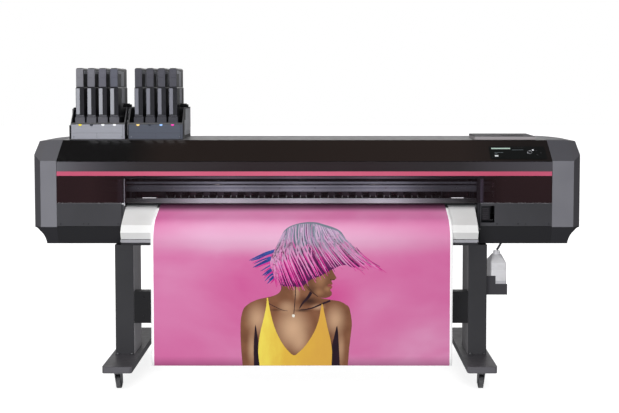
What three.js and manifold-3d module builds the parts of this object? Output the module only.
// A wide-format roll-fed inkjet printer on a wheeled stand, as an assembly of named parts.
// Millimetres, +X to the right, -Y to the front, +Z up; z = 0 is the floor.
import * as THREE from 'three';
import ManifoldModule from 'manifold-3d';

const wasm = await ManifoldModule();
wasm.setup();

// ---------------------------------------------------------------- driving dimensions

const GAP = 0.3;                 // clearance between neighbouring parts
const SHELL = 5;                 // wall of the moulded covers

const HALF_WIDTH = 1431;         // whole machine, from the middle to either end cap
const BODY_LEFT = -1305;         // where the left end cap meets the long covers
const BODY_RIGHT = 1277;
const BODY_REAR = 262;
const BODY_FLOOR = 703;          // underside of the body
const FRONT = -217.5;            // front face of the body
const FOLD_Z = 1137.5;           // where the front face folds back into the gloss slope
const CREST_Y = -87.5;           // where the gloss slope meets the top cover
const CREST_Z = 1241;
const TOP_Y = 42;                // where the top cover becomes level
const TOP_Z = 1245;

const WINDOW_FOOT = 919;
const STRIPE_FOOT = 1061.8;
const BAND_FOOT = 1084.6;
const UNDERCUT_Z = 798;          // below this the lower covers lean back
const UNDERCUT_Y = -187;

const FRAME_LEFT = -953.5;       // inner faces of the two side frames
const FRAME_RIGHT = 890.5;
const FRAME_PLATE = 13.2;

const MEDIA_LEFT = -784;         // a 60 inch roll
const MEDIA_RIGHT = 736;
const MEDIA_FOOT = 115;
const PLATEN_Z = 905;
const ROLL = { y: 352, z: 680, radius: 73.2, bore: 26 };

const LEG = { width: 98, front: -230.5, rear: -35.5, foot: 126.3, top: 702.7 };
const LEFT_LEG_X = -953;
const RIGHT_LEG_X = 889;
const FOOT = { halfWidth: 74, front: -442.5, rear: 297.5, bottom: 92, top: 126 };
const WHEEL = { radius: 31, width: 22, axle: 4, trail: 25, front: -407, rear: 237 };

// ---------------------------------------------------------------- small geometry helpers

/** A closed polygon (list of [u, v]) swept along an axis; `place` maps (u, v, w) to x, y, z. */
function sweep(points, from, to, place, holes = []) {
  const shape = new THREE.Shape(points.map(([u, v]) => new THREE.Vector2(u, v)));
  for (const hole of holes) {
    shape.holes.push(new THREE.Path(hole.map(([u, v]) => new THREE.Vector2(u, v))));
  }
  const geometry = new THREE.ExtrudeGeometry(shape, { depth: to - from, bevelEnabled: false });
  geometry.translate(0, 0, from);
  geometry.applyMatrix4(place);
  return geometry;
}

const ALONG_X = new THREE.Matrix4().set(0, 0, 1, 0, 1, 0, 0, 0, 0, 1, 0, 0, 0, 0, 0, 1);
const ALONG_Y = new THREE.Matrix4().set(1, 0, 0, 0, 0, 0, -1, 0, 0, 1, 0, 0, 0, 0, 0, 1);
const ALONG_Z = new THREE.Matrix4();

/** Sweeps a [y, z] outline from x0 to x1. */
const alongX = (points, x0, x1, holes) => sweep(points, x0, x1, ALONG_X, holes);

/** Sweeps an [x, z] outline from y0 to y1. */
const alongY = (points, y0, y1, holes) => sweep(points, -y1, -y0, ALONG_Y, holes);

/** Sweeps an [x, y] outline from z0 to z1. */
const alongZ = (points, z0, z1, holes) => sweep(points, z0, z1, ALONG_Z, holes);

function box(x0, x1, y0, y1, z0, z1) {
  const geometry = new THREE.BoxGeometry(x1 - x0, y1 - y0, z1 - z0);
  return geometry.translate((x0 + x1) / 2, (y0 + y1) / 2, (z0 + z1) / 2);
}

const AXIS_TURN = {
  x: (geometry) => geometry.rotateZ(-Math.PI / 2),
  y: (geometry) => geometry,
  z: (geometry) => geometry.rotateX(Math.PI / 2),
};

/** A solid of revolution about an axis, from [radius, distance along the axis] points. */
function turned(axis, profile, centre, segments = 24, start = 0) {
  const points = profile.map(([r, w]) => new THREE.Vector2(r, w));
  const geometry = new THREE.LatheGeometry(points, segments, start);
  AXIS_TURN[axis](geometry);
  return geometry.translate(...centre);
}

/** A plain cylinder that runs from w0 to w1 along its axis, measured from its centre. */
function cylinder(axis, radius, w0, w1, centre, segments = 24, start = 0) {
  const profile = [[0, w0], [radius, w0], [radius, w1], [0, w1]];
  return turned(axis, profile, centre, segments, start);
}

/** A ring with a square section about an axis. */
function ring(axis, inner, outer, w0, w1, centre, segments = 24, start = 0) {
  const profile = [[inner, w0], [outer, w0], [outer, w1], [inner, w1], [inner, w0]];
  return turned(axis, profile, centre, segments, start);
}

/** Points of an arc from one angle to another, in degrees. */
function arc(cu, cv, radius, from, to, steps = 6) {
  return Array.from({ length: steps + 1 }, (_, i) => {
    const angle = THREE.MathUtils.degToRad(from + ((to - from) * i) / steps);
    return [cu + radius * Math.cos(angle), cv + radius * Math.sin(angle)];
  });
}

const cross = (a, b) => a[0] * b[1] - a[1] * b[0];

function unit(a, b) {
  const length = Math.hypot(b[0] - a[0], b[1] - a[1]);
  return [(b[0] - a[0]) / length, (b[1] - a[1]) / length];
}

/** The point where two offset edges meet, `distance` to the left of the path a-b-c. */
function mitre(a, b, c, distance) {
  const p = unit(a, b);
  const q = unit(b, c);
  const turn = 1 + p[0] * q[0] + p[1] * q[1];
  const u = (-p[1] - q[1]) / turn;
  const v = (p[0] + q[0]) / turn;
  return [b[0] + u * distance, b[1] + v * distance];
}

/** A closed outline moved inwards by `distance`, whichever way round it runs. */
function inset(points, distance) {
  const count = points.length;
  let area = 0;
  points.forEach((p, i) => { area += cross(p, points[(i + 1) % count]); });
  const side = area > 0 ? distance : -distance;
  const at = (i) => points[(i + count) % count];
  return points.map((p, i) => mitre(at(i - 1), p, at(i + 1), side));
}

/** An open path moved sideways to its left by `distance`. */
function beside(path, distance) {
  return path.map((p, i) => {
    const before = path[i - 1] ?? [2 * p[0] - path[i + 1][0], 2 * p[1] - path[i + 1][1]];
    const after = path[i + 1] ?? [2 * p[0] - before[0], 2 * p[1] - before[1]];
    return mitre(before, p, after, distance);
  });
}

/** A strip of sheet that follows a path, `left` and `right` of it, as a closed outline. */
const strip = (path, left, right) => [...beside(path, left), ...beside(path, -right).reverse()];

/** An outline with every corner cut back by `cut`. */
function chamfered(x0, x1, y0, y1, cut) {
  return [
    [x0 + cut, y0], [x1 - cut, y0], [x1, y0 + cut], [x1, y1 - cut],
    [x1 - cut, y1], [x0 + cut, y1], [x0, y1 - cut], [x0, y0 + cut],
  ];
}

// ---------------------------------------------------------------- booleans

function toManifold(geometry) {
  const flat = geometry.index ? geometry.toNonIndexed() : geometry;
  const position = flat.getAttribute('position');
  const keys = new Map();
  const vertices = [];
  const triangles = [];
  for (let i = 0; i < position.count; i += 3) {
    const corners = [0, 1, 2].map((k) => {
      const p = [position.getX(i + k), position.getY(i + k), position.getZ(i + k)];
      const key = p.map((value) => Math.round(value * 1e4)).join(',');
      if (!keys.has(key)) {
        keys.set(key, vertices.length / 3);
        vertices.push(...p);
      }
      return keys.get(key);
    });
    if (new Set(corners).size === 3) triangles.push(...corners);
  }
  const mesh = new wasm.Mesh({
    numProp: 3,
    vertProperties: new Float32Array(vertices),
    triVerts: new Uint32Array(triangles),
  });
  return new wasm.Manifold(mesh);
}

function toGeometry(manifold) {
  const mesh = manifold.getMesh();
  const geometry = new THREE.BufferGeometry();
  geometry.setAttribute('position', new THREE.BufferAttribute(mesh.vertProperties, 3));
  geometry.setIndex(new THREE.BufferAttribute(mesh.triVerts, 1));
  return geometry;
}

const join = (...parts) => toGeometry(wasm.Manifold.union(parts.map(toManifold)));
const common = (...parts) => toGeometry(wasm.Manifold.intersection(parts.map(toManifold)));
const cut = (part, ...tools) => toGeometry(
  toManifold(part).subtract(wasm.Manifold.union(tools.map(toManifold))),
);

// ---------------------------------------------------------------- finishes

const finish = (color, roughness, metalness = 0, opacity = 1) => new THREE.MeshStandardMaterial({
  color, roughness, metalness, opacity, transparent: opacity < 1, flatShading: true,
});

const FINISH = {
  capGrey: finish(0x74757c, 0.5),
  lowerGrey: finish(0x3c3c40, 0.55),
  topGrey: finish(0x7a7a7e, 0.5),
  glossBlack: finish(0x14110f, 0.08),
  bandGrey: finish(0x46474a, 0.35),
  stripePink: finish(0xd4557c, 0.25),
  smoked: finish(0x241216, 0.06, 0, 0.62),
  screen: finish(0x0c100f, 0.12),
  steel: finish(0x8b8c92, 0.35, 0.9),
  darkSteel: finish(0x2b2c30, 0.5, 0.5),
  aluminium: finish(0xc6c9ce, 0.3, 0.9),
  apronGrey: finish(0xcfcdc8, 0.45),
  legGrey: finish(0x3a3a3d, 0.5, 0.2),
  footGrey: finish(0x5b5b5f, 0.5, 0.2),
  inkHousing: finish(0x2a2a2e, 0.5),
  cartridge: finish(0x1d1d20, 0.5),
  rubber: finish(0x2a2a2a, 0.8),
  blackPlastic: finish(0x17171a, 0.5),
  bottle: finish(0xe9ebec, 0.4),
  tube: finish(0xd9dcdf, 0.3),
  media: finish(0xd86ab0, 0.35),
  paper: finish(0xf4f4f4, 0.5),
};

const printer = new THREE.Group();
printer.name = 'roll_fed_printer';

/** Adds one named part to the printer. */
function add(name, geometry, material) {
  const mesh = new THREE.Mesh(geometry, material);
  mesh.name = name;
  mesh.geometry.computeVertexNormals();
  printer.add(mesh);
}

// ---------------------------------------------------------------- end caps

const CAP_SIDE = [
  [FRONT, FOLD_Z], [FRONT, 794], [UNDERCUT_Y, BODY_FLOOR], [BODY_REAR - 20, BODY_FLOOR],
  [BODY_REAR, BODY_FLOOR + 20], [BODY_REAR, TOP_Z], [TOP_Y, TOP_Z], [CREST_Y, CREST_Z],
];
const SCOOP = { width: 65, height: 89 };   // the hollow under each outer corner
const CAP_INNER = 1240;          // both caps reach inboard of this before they are trimmed

function capSolid(sign, wall) {
  const inboard = sign < 0 ? BODY_LEFT : BODY_RIGHT;
  const open = inboard - sign * (wall ? 30 : 0);
  const mirror = (points) => points.map(([x, w]) => [sign * x, w]);
  const plan = mirror([
    [CAP_INNER, FRONT], [1388, FRONT], [HALF_WIDTH, -177],
    [HALF_WIDTH, BODY_REAR - 50], [1392, BODY_REAR], [CAP_INNER, BODY_REAR],
  ]);
  const scoop = arc(0, 0, 1, 179.3, 90, 8).map(([x, z]) => [
    HALF_WIDTH + SCOOP.width * x,
    700 + SCOOP.height * z,
  ]);
  const face = mirror([
    [CAP_INNER, BODY_FLOOR], ...scoop,
    [HALF_WIDTH, 1168], [1427, 1236], [1350, 1243],
    [1290, TOP_Z + 1], [CAP_INNER, TOP_Z + 1],
  ]);
  return common(
    alongX(inset(CAP_SIDE, wall), Math.min(open, sign * 1600), Math.max(open, sign * 1600)),
    alongZ(inset(plan, wall), 600, 1400),
    alongY(inset(face, wall), -400, 400),
  );
}

for (const [name, sign] of [['left_end_cap', -1], ['right_end_cap', 1]]) {
  add(name, cut(capSolid(sign, 0), capSolid(sign, SHELL)), FINISH.capGrey);
}

// ---------------------------------------------------------------- long covers

const LONG_LEFT = BODY_LEFT + GAP;
const LONG_RIGHT = BODY_RIGHT - GAP;

/** C-shaped lower cover: front wall, lean-back, floor and a small shelf under the window. */
const lowerCover = strip([
  [-207, WINDOW_FOOT], [FRONT, WINDOW_FOOT], [FRONT, UNDERCUT_Z], [UNDERCUT_Y, BODY_FLOOR],
  [BODY_REAR - 10, BODY_FLOOR],
], SHELL, 0);
const LEVER = { x0: 904, x1: 980, z0: 814, z1: 908 };

add('left_lower_cover', alongX(lowerCover, LONG_LEFT, FRAME_LEFT - FRAME_PLATE - GAP),
  FINISH.lowerGrey);
add('right_lower_cover', cut(
  alongX(lowerCover, FRAME_RIGHT + FRAME_PLATE + GAP, LONG_RIGHT),
  box(LEVER.x0 + 3, LEVER.x1 - 3, FRONT - 1, FRONT + 20, LEVER.z0 + 3, LEVER.z1 - 3),
), FINISH.lowerGrey);

const slope = (y) => FOLD_Z + ((y - FRONT) * (CREST_Z - FOLD_Z)) / (CREST_Y - FRONT);
const ease = (y) => CREST_Z + ((y - CREST_Y) * (TOP_Z - CREST_Z)) / (TOP_Y - CREST_Y);

// The gloss slope and the top cover are one skin, parted by a seam at the crest.
const crown = [[FRONT + 0.2, FOLD_Z + GAP], [CREST_Y, CREST_Z], [TOP_Y, TOP_Z], [BODY_REAR, TOP_Z]];
const crownInside = beside(crown, -SHELL);
const slopeAngle = Math.atan2(CREST_Z - FOLD_Z, CREST_Y - FRONT);
const lipY = crownInside[0][0] + (crown[0][1] - crownInside[0][1]) / Math.tan(slopeAngle);
const nudge = ([y, z], by) => [y + by, z];
add('gloss_top_panel', alongX([
  crown[0], nudge(crown[1], -GAP / 2), nudge(crownInside[1], -GAP / 2), [lipY, crown[0][1]],
], LONG_LEFT, LONG_RIGHT), FINISH.glossBlack);

const HATCH = { x0: 896, x1: 1220, front: -74, rear: 122 };
const INK_FRONT = -47.5;
const INK_REAR = 227.5;

add('top_cover', cut(
  alongX([
    nudge(crown[1], GAP / 2), crown[2], crown[3], crownInside[3], crownInside[2],
    nudge(crownInside[1], GAP / 2),
  ], LONG_LEFT, LONG_RIGHT),
  box(HATCH.x0 + 40, HATCH.x1 - 70, -30, HATCH.rear - 22, 1200, 1300),
), FINISH.topGrey);

const hatchSide = [
  [HATCH.front, ease(HATCH.front) + 0.5], [TOP_Y, TOP_Z + 0.5], [HATCH.rear, TOP_Z + 0.5],
  [HATCH.rear, 1262], [HATCH.rear - 5, 1266], [HATCH.front + 3, 1261], [HATCH.front, 1258],
];
const hatchFront = [
  [HATCH.x0, 1230], [HATCH.x0, 1263], [HATCH.x0 + 4, 1267], [HATCH.x1 - 10, 1267],
  [HATCH.x1, 1258], [HATCH.x1, 1230],
];
add('service_hatch', common(
  alongX(hatchSide, 800, 1300), alongY(hatchFront, -100, 300),
), FINISH.topGrey);

const REAR_SLOT = { z0: 775, z1: 916 };
add('rear_cover', cut(
  box(LONG_LEFT, LONG_RIGHT, BODY_REAR - SHELL, BODY_REAR, BODY_FLOOR + 6, TOP_Z - SHELL - GAP),
  box(FRAME_LEFT, FRAME_RIGHT, 200, 300, REAR_SLOT.z0, REAR_SLOT.z1),
  box(-868, -844, 200, 300, BODY_FLOOR, 746),
  box(794, 818, 200, 300, BODY_FLOOR, 746),
), FINISH.lowerGrey);

// ---------------------------------------------------------------- operation panel

/** Lays a part drawn flat, with its origin at the fold, onto the gloss slope. */
function onSlope(geometry) {
  return geometry.rotateX(slopeAngle).translate(0, FRONT, FOLD_Z);
}

const PANEL = { x0: 958, x1: 1253, low: 16, high: 112, thick: 1.6, lift: 0.6 };
const BUTTON = { x: 1168, along: 66, radius: 9 };

add('operation_panel', onSlope(cut(
  alongZ(chamfered(PANEL.x0, PANEL.x1, PANEL.low, PANEL.high, 5),
    PANEL.lift, PANEL.lift + PANEL.thick),
  cylinder('z', BUTTON.radius + 0.5, -5, 5, [BUTTON.x, BUTTON.along, 0], 24),
)), FINISH.screen);
add('power_button', onSlope(
  cylinder('z', BUTTON.radius, 1.6, 3.6, [BUTTON.x, BUTTON.along, 0], 24),
), FINISH.blackPlastic);

// ---------------------------------------------------------------- front cover (opens upwards)

const COVER_LEFT = BODY_LEFT + 2;
const COVER_RIGHT = BODY_RIGHT - 2;

add('front_cover_frame', alongX([
  [FRONT, BAND_FOOT + GAP], [FRONT, 1135.5], [-211, 1135.5], [-211, 1090],
  [-208.5, 1086], [-208.5, 1046], [-212.5, 1046], [-212.5, BAND_FOOT + GAP],
], COVER_LEFT, COVER_RIGHT), FINISH.bandGrey);
add('accent_stripe', box(COVER_LEFT, COVER_RIGHT, FRONT - 0.8, -212.9, STRIPE_FOOT, BAND_FOOT),
  FINISH.stripePink);
add('front_window', box(
  COVER_LEFT, COVER_RIGHT, FRONT + 0.4, -213, WINDOW_FOOT + 0.8, STRIPE_FOOT - GAP,
), FINISH.smoked);

// ---------------------------------------------------------------- chassis

const sideOutline = [
  [-205, 1128], [-205, 803], [-177, 712], [-160, 709], [230, 709], [230, 1234], [40, 1234],
  [-90, 1222],
];
const carriageWay = [
  [-176, 880], [-19.7, 880], [-19.7, 1132], [-150, 1132], [-176, 1116],
];
const rollerHole = chamfered(-6, 62, 878, 1000, 12);
for (const [name, x0] of [
  ['left_side_frame', FRAME_LEFT - FRAME_PLATE], ['right_side_frame', FRAME_RIGHT],
]) {
  add(name, cut(
    alongX(sideOutline, x0, x0 + FRAME_PLATE),
    alongX(carriageWay, x0 - 1, x0 + FRAME_PLATE + 1),
    alongX(rollerHole, x0 - 1, x0 + FRAME_PLATE + 1),
  ), FINISH.darkSteel);
}

const INSIDE_LEFT = FRAME_LEFT + GAP;
const INSIDE_RIGHT = FRAME_RIGHT - GAP;
add('base_frame', alongX(strip([
  [140, BODY_FLOOR], [-120, BODY_FLOOR], [-120, 862], [140, 862],
], 0, 4), INSIDE_LEFT, INSIDE_RIGHT), FINISH.darkSteel);

add('platen', alongX([
  [-172, PLATEN_Z - 3], [-169, PLATEN_Z], [-5, PLATEN_Z], [-5, 884], [-20, 884], [-20, 868],
  [-150, 868], [-150, 884], [-172, 884],
], INSIDE_LEFT, INSIDE_RIGHT), FINISH.aluminium);

add('rear_paper_guide', alongX(strip([
  [26, PLATEN_Z - 0.4], [216, PLATEN_Z - 0.4], ...arc(216, 844, 60.5, 84, 0, 7), [276.5, 785],
], 0, 4), -850, 800), FINISH.apronGrey);

/** Seen from above, the apron narrows a little towards its nose. */
const apronPlan = [
  [-953, -160], [-953, -176], [-940, -350], [-940, -400],
  [867.5, -400], [867.5, -350], [880, -176], [880, -160],
];
add('front_apron', common(
  alongX(strip([
    [-176, 896.5], [-350, 824.5], [-373.3, 789], [-357, 751], [-357, 722], [-335, 722],
  ], 4, 0), -953, 880),
  alongZ(apronPlan, 700, 920),
), FINISH.apronGrey);

add('front_guide_bar', alongX(chamfered(-197, -180, 916, 941, 3), INSIDE_LEFT, INSIDE_RIGHT),
  FINISH.steel);

// ---------------------------------------------------------------- media feed

const FEED = { y: 10, grit: 12, pinch: 15 };
const MEDIA = 1;                 // thickness drawn for the vinyl
const gritZ = PLATEN_Z - FEED.grit;
const pinchZ = PLATEN_Z + 0.3 + MEDIA + 0.3 + FEED.pinch;

add('grit_roller', cylinder('x', FEED.grit, INSIDE_LEFT + 4, INSIDE_RIGHT - 4,
  [0, FEED.y, gritZ], 16), FINISH.steel);

const PINCH_PITCH = 76;
const PINCH_COUNT = 20;
const PINCH_WIDTH = 26;
const PINCH_SHAFT = 4;
const pinchStart = (MEDIA_LEFT + MEDIA_RIGHT) / 2 - ((PINCH_COUNT - 1) * PINCH_PITCH) / 2;
const pinchProfile = [[0, pinchStart - 40], [PINCH_SHAFT, pinchStart - 40]];
for (let i = 0; i < PINCH_COUNT; i += 1) {
  const x = pinchStart + i * PINCH_PITCH;
  pinchProfile.push([PINCH_SHAFT, x - PINCH_WIDTH / 2], [FEED.pinch, x - PINCH_WIDTH / 2]);
  pinchProfile.push([FEED.pinch, x + PINCH_WIDTH / 2], [PINCH_SHAFT, x + PINCH_WIDTH / 2]);
}
const pinchEnd = pinchStart + (PINCH_COUNT - 1) * PINCH_PITCH + 40;
pinchProfile.push([PINCH_SHAFT, pinchEnd], [0, pinchEnd]);
add('pinch_rollers', turned('x', pinchProfile, [0, FEED.y, pinchZ], 12), FINISH.rubber);

/** The bar that lifts the pinch rollers: a square tube with an arm at each end. */
const pinchArm = chamfered(FEED.y - 9, 58, pinchZ - 9, 985, 6);
const armHole = arc(FEED.y, pinchZ, PINCH_SHAFT + 0.5, 0, 330, 11);
add('pinch_arm_bar', join(
  box(pinchStart - 44, pinchEnd + 4, 38, 58, 965, 985),
  alongX(pinchArm, pinchStart - 36, pinchStart - 28, [armHole]),
  alongX(pinchArm, pinchEnd - 12, pinchEnd - 4, [armHole]),
), FINISH.darkSteel);

/** The stiff vinyl leaves the platen, bends over in front of the apron's nose and hangs. */
const BEND = { y: -269.5, z: 743, radius: 120 };
const mediaPath = [
  [277.8, ROLL.z], [277.8, 844], ...arc(216, 844, 61.8, 12, 78, 6), [216, PLATEN_Z + 0.8],
  [-173, PLATEN_Z + 0.8], ...arc(BEND.y, BEND.z, BEND.radius, 110.5, 180, 7),
  [BEND.y - BEND.radius, MEDIA_FOOT],
];
add('media_sheet', alongX(strip(mediaPath, MEDIA / 2, MEDIA / 2), MEDIA_LEFT, MEDIA_RIGHT),
  FINISH.media);
add('media_roll', ring('x', ROLL.bore, ROLL.radius, MEDIA_LEFT, MEDIA_RIGHT,
  [0, ROLL.y, ROLL.z], 40), FINISH.paper);

const cradleArm = [
  [140.5, 650], [330, 650], [360, 640], [430, 640], [442.5, 652], [442.5, 705], [330, 705],
  [300, 740], [140.5, 740],
];
add('roll_cradle', join(
  cylinder('x', ROLL.bore - 2, -862, 812, [0, ROLL.y, ROLL.z], 24),
  alongX(cradleArm, -862, -850),
  alongX(cradleArm, 800, 812),
), FINISH.darkSteel);

// ---------------------------------------------------------------- carriage and its drive

const CARRIAGE_X = 1100;         // parked over the capping station
const RAIL = { front: -67, rear: -20, z0: 961, z1: 998 };

add('guide_rail', alongX(chamfered(RAIL.front, RAIL.rear, RAIL.z0, RAIL.z1, 4), -1285, 1257),
  FINISH.steel);
add('carriage', alongX([
  [-170, 946], [-70, 946], [-70, 1001], [-24, 1001], [-24, 1014], [-60, 1014],
  [-60, 1100], [-84, 1120], [-148, 1120], [-170, 1098],
], CARRIAGE_X - 100, CARRIAGE_X + 100), FINISH.blackPlastic);
add('print_head_block', alongX(chamfered(-150, -80, 909, 945.7, 3),
  CARRIAGE_X - 62, CARRIAGE_X + 62), FINISH.steel);

const BELT = { left: -1262, right: 1232, z: 1035, y0: -52, y1: -40, radius: 15.4, thick: 1.8 };
const beltLoop = (radius) => [
  ...arc(BELT.right, BELT.z, radius, -90, 90, 10), ...arc(BELT.left, BELT.z, radius, 90, 270, 10),
];
add('timing_belt', alongY(beltLoop(BELT.radius + BELT.thick), BELT.y0, BELT.y1,
  [beltLoop(BELT.radius)]), FINISH.rubber);
const pulleyProfile = [
  [4, -9], [19, -9], [19, -6.6], [15, -6.6], [15, 6.6], [19, 6.6], [19, 9], [4, 9], [4, -9],
];
const beltY = (BELT.y0 + BELT.y1) / 2;
add('drive_pulley', turned('y', pulleyProfile, [BELT.right, beltY, BELT.z], 20),
  FINISH.aluminium);
add('idler_pulley', turned('y', pulleyProfile, [BELT.left, beltY, BELT.z], 20),
  FINISH.aluminium);

add('capping_station', join(
  box(CARRIAGE_X - 58, CARRIAGE_X + 58, -152, -78, 711, 885),
  box(CARRIAGE_X - 50, CARRIAGE_X + 50, -146, -84, 884, 897),
), FINISH.blackPlastic);

add('loading_lever', join(
  alongX([
    [-205, 821], [-216.9, 834], [-216.9, 904], [-208, 904], [-206, 838], [-190, 832],
    [-190, 821],
  ], LEVER.x0 + 4, 954),
  cylinder('x', 6, LEVER.x0 + 4, 972, [0, -196, 826], 12),
), FINISH.blackPlastic);

// ---------------------------------------------------------------- ink supply

const inkSide = [
  [INK_FRONT, ease(INK_FRONT) + 0.5], [TOP_Y, TOP_Z + 0.5], [INK_REAR, TOP_Z + 0.5],
  [INK_REAR, 1412], [16, 1412], [INK_FRONT, 1323.5],
];
for (const [name, x0, x1] of [
  ['left_ink_housing', -1275, -982], ['right_ink_housing', -966, -670],
]) {
  add(name, cut(
    alongX(inkSide, x0, x1),
    box(x0 + SHELL, x1 - SHELL, INK_FRONT + 6, INK_REAR - 5, 1263, 1500),
  ), FINISH.inkHousing);
}

const cartridgeFront = [
  [-25, 1268], [25, 1268], [25, 1362], [22, 1368], [22, 1518], [19, 1522], [19, 1619],
  [14, 1625], [-14, 1625], [-19, 1619], [-19, 1522], [-22, 1518], [-22, 1368], [-25, 1362],
];
const CARTRIDGE_X = [-1225.5, -1164, -1103, -1041, -909.5, -847, -785.5, -724];
CARTRIDGE_X.forEach((x, i) => {
  const outline = cartridgeFront.map(([u, z]) => [x + u, z]);
  add(`ink_cartridge_${i + 1}`, alongY(outline, -37.5, 192.5), FINISH.cartridge);
});

// ---------------------------------------------------------------- waste ink

const BOTTLE = { x0: 970, x1: 1054, y0: -167.5, y1: -33.5, z0: 436.3, z1: 593, top: 649 };
const bottleX = (BOTTLE.x0 + BOTTLE.x1) / 2;
const bottleY = (BOTTLE.y0 + BOTTLE.y1) / 2;

/** A square-shouldered bottle; `wall` shrinks it to make the space inside. */
function bottleSolid(wall) {
  const body = chamfered(BOTTLE.x0 + wall, BOTTLE.x1 - wall, BOTTLE.y0 + wall,
    BOTTLE.y1 - wall, 10 - wall / 2);
  const neck = 19.5 - wall;
  const shoulder = [
    [BOTTLE.x0 + wall, BOTTLE.z1 - 1], [BOTTLE.x1 - wall, BOTTLE.z1 - 1],
    [bottleX + neck, 632], [bottleX - neck, 632],
  ];
  const shoulderSide = [
    [BOTTLE.y0 + wall, BOTTLE.z1 - 1], [BOTTLE.y1 - wall, BOTTLE.z1 - 1],
    [bottleY + neck, 632], [bottleY - neck, 632],
  ];
  return join(
    alongZ(body, BOTTLE.z0 + wall, BOTTLE.z1),
    common(alongY(shoulder, -300, 100), alongX(shoulderSide, 900, 1200), alongZ(body, 500, 700)),
    cylinder('z', neck, 625, BOTTLE.top + (wall ? 5 : 0), [bottleX, bottleY, 0], 20),
  );
}
add('waste_bottle', cut(bottleSolid(0), bottleSolid(3)), FINISH.bottle);

const BRACKET = { x0: 938.3, x1: 1056.5, y0: -172, y1: -29, z0: 427, z1: 484.5 };
add('bottle_bracket', join(
  box(BRACKET.x0, BRACKET.x1, BRACKET.y0, BRACKET.y1, BRACKET.z0, BRACKET.z0 + 9),
  alongY([
    [BRACKET.x0, BRACKET.z0], [BRACKET.x1, BRACKET.z0], [BRACKET.x1, BRACKET.z1],
    [994, BRACKET.z1], [994, 527], [BRACKET.x0, 527],
  ], BRACKET.y0, BRACKET.y0 + 3),
  box(BRACKET.x0, BRACKET.x1, BRACKET.y1 - 3, BRACKET.y1, BRACKET.z0, BRACKET.z1),
  box(BRACKET.x0, BRACKET.x0 + 4, BRACKET.y0, BRACKET.y1, BRACKET.z0, 527),
), FINISH.blackPlastic);

const tubeTop = new THREE.Vector3(1040, bottleY, BODY_FLOOR - 5);
const tubeEnd = new THREE.Vector3(bottleX, bottleY, 656);
const tubeRun = new THREE.Vector3().subVectors(tubeTop, tubeEnd);
const tubeTilt = Math.atan2(tubeRun.x, tubeRun.z);
add('waste_tube', cylinder('z', 6, 0, tubeRun.length(), [0, 0, 0], 14)
  .rotateX(Math.PI).rotateY(tubeTilt + Math.PI).translate(...tubeEnd), FINISH.tube);

// ---------------------------------------------------------------- stand

function legTube(x) {
  const outer = chamfered(x - LEG.width / 2, x + LEG.width / 2, LEG.front, LEG.rear, 4);
  const inner = chamfered(x - LEG.width / 2 + 4, x + LEG.width / 2 - 4, LEG.front + 4,
    LEG.rear - 4, 3);
  return alongZ(outer, LEG.foot, LEG.top, [inner]);
}

function footBeam(x) {
  const outline = chamfered(x - FOOT.halfWidth, x + FOOT.halfWidth, FOOT.front, FOOT.rear, 8);
  return alongZ(outline, FOOT.bottom, FOOT.top);
}

function casterFork(x, y) {
  const arm = [
    [y - 20, 89], [y + 22, 89], [y + 30, 60], [y + 34, WHEEL.radius - 9],
    [y + 16, WHEEL.radius - 9], [y - 6, 62],
  ];
  const halfInside = WHEEL.width / 2 + 1.5;
  return join(
    box(x - halfInside - 4, x + halfInside + 4, y - 22, y + 26, 84, 89),
    cylinder('z', 24, 88, FOOT.bottom - GAP, [x, y, 0], 20),
    alongX(arm, x - halfInside - 4, x - halfInside),
    alongX(arm, x + halfInside, x + halfInside + 4),
    cylinder('x', WHEEL.axle, -halfInside - 2, halfInside + 2, [x, y + WHEEL.trail, WHEEL.radius], 12),
  );
}

const FOOT_X = { left: -949, right: 881 };
add('left_leg', legTube(LEFT_LEG_X), FINISH.legGrey);
add('right_leg', legTube(RIGHT_LEG_X), FINISH.legGrey);
add('left_foot', footBeam(FOOT_X.left), FINISH.footGrey);
add('right_foot', footBeam(FOOT_X.right), FINISH.footGrey);
add('stay_beam', alongX(strip([
  [-182.5, 291], [-230.5, 291], [-230.5, 458], [-182.5, 458],
], 0, 4), LEFT_LEG_X + LEG.width / 2 + GAP, RIGHT_LEG_X - LEG.width / 2 - GAP), FINISH.legGrey);

const facetDown = Math.PI / 24;  // half a facet, so that each wheel stands on a flat
for (const side of ['left', 'right']) {
  for (const end of ['front', 'rear']) {
    const x = FOOT_X[side];
    const y = WHEEL[end];
    add(`${side}_${end}_caster_fork`, casterFork(x, y), FINISH.steel);
    add(`${side}_${end}_caster_wheel`, ring('x', WHEEL.axle + 0.4, WHEEL.radius
      / Math.cos(facetDown), -WHEEL.width / 2, WHEEL.width / 2, [x, y + WHEEL.trail, WHEEL.radius],
    24, facetDown), FINISH.rubber);
  }
}

export default printer;
